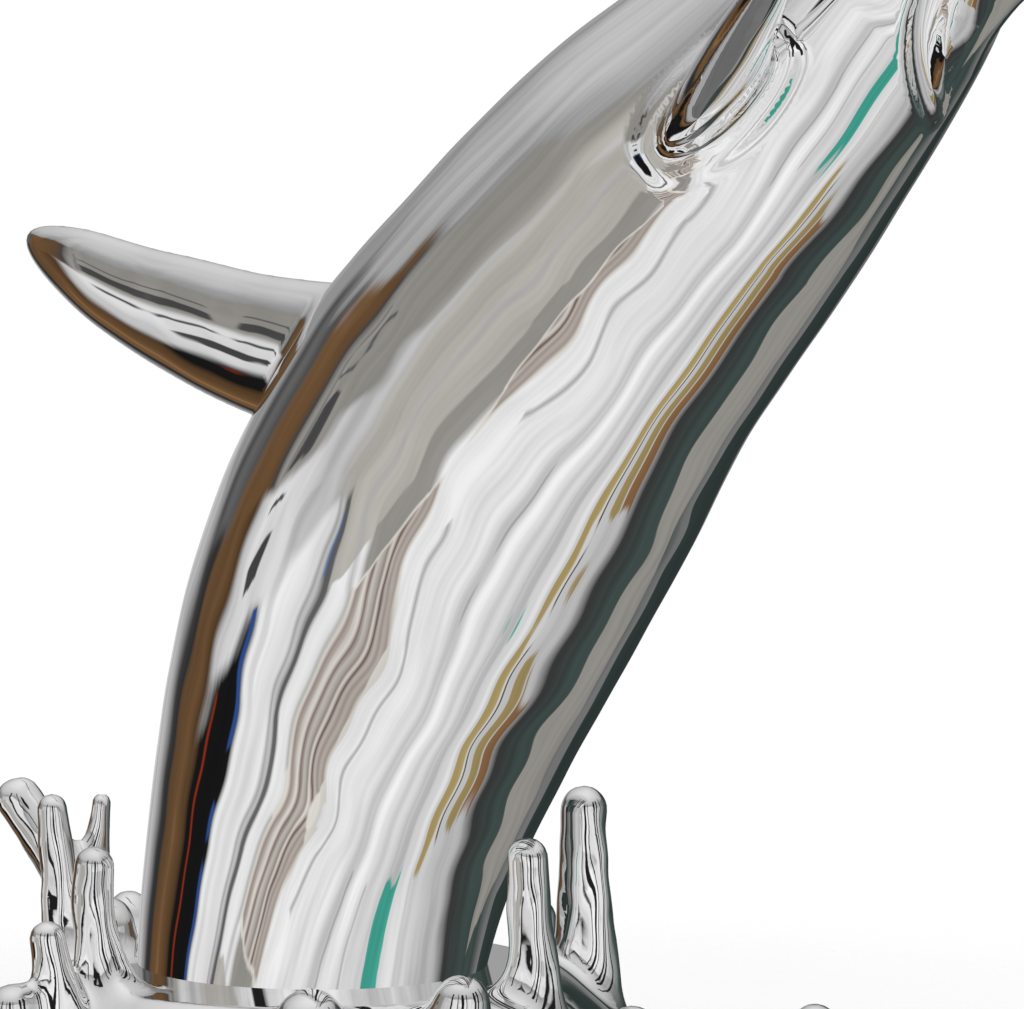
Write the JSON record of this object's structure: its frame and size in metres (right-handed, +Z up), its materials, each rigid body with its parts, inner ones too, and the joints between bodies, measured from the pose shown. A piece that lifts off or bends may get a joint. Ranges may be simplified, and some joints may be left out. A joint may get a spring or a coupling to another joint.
{
  "type": "whale sculpture",
  "caption": "Mirror-polished steel whale leaping from a crown of splash fingers on a low oval water base, for a garden, lobby or pool side.",
  "frame": {"origin": "on the flat underside of the splash base, below the foot of the whale", "axes": "+Z up, +X the way the whale leaps, -Y the flank of the whale seen in the picture"},
  "size_m": [2.2304, 1.1526, 1.8454],
  "materials": {
    "polished_steel": "mirror-polished stainless sheet, slightly wavy from hand forming",
    "splash_steel": "mirror-polished stainless, rippled along the splash fingers"
  },
  "bodies": {
    "root": {"whale": "polished_steel", "splash_base": "splash_steel"}
  },
  "joints": []
}
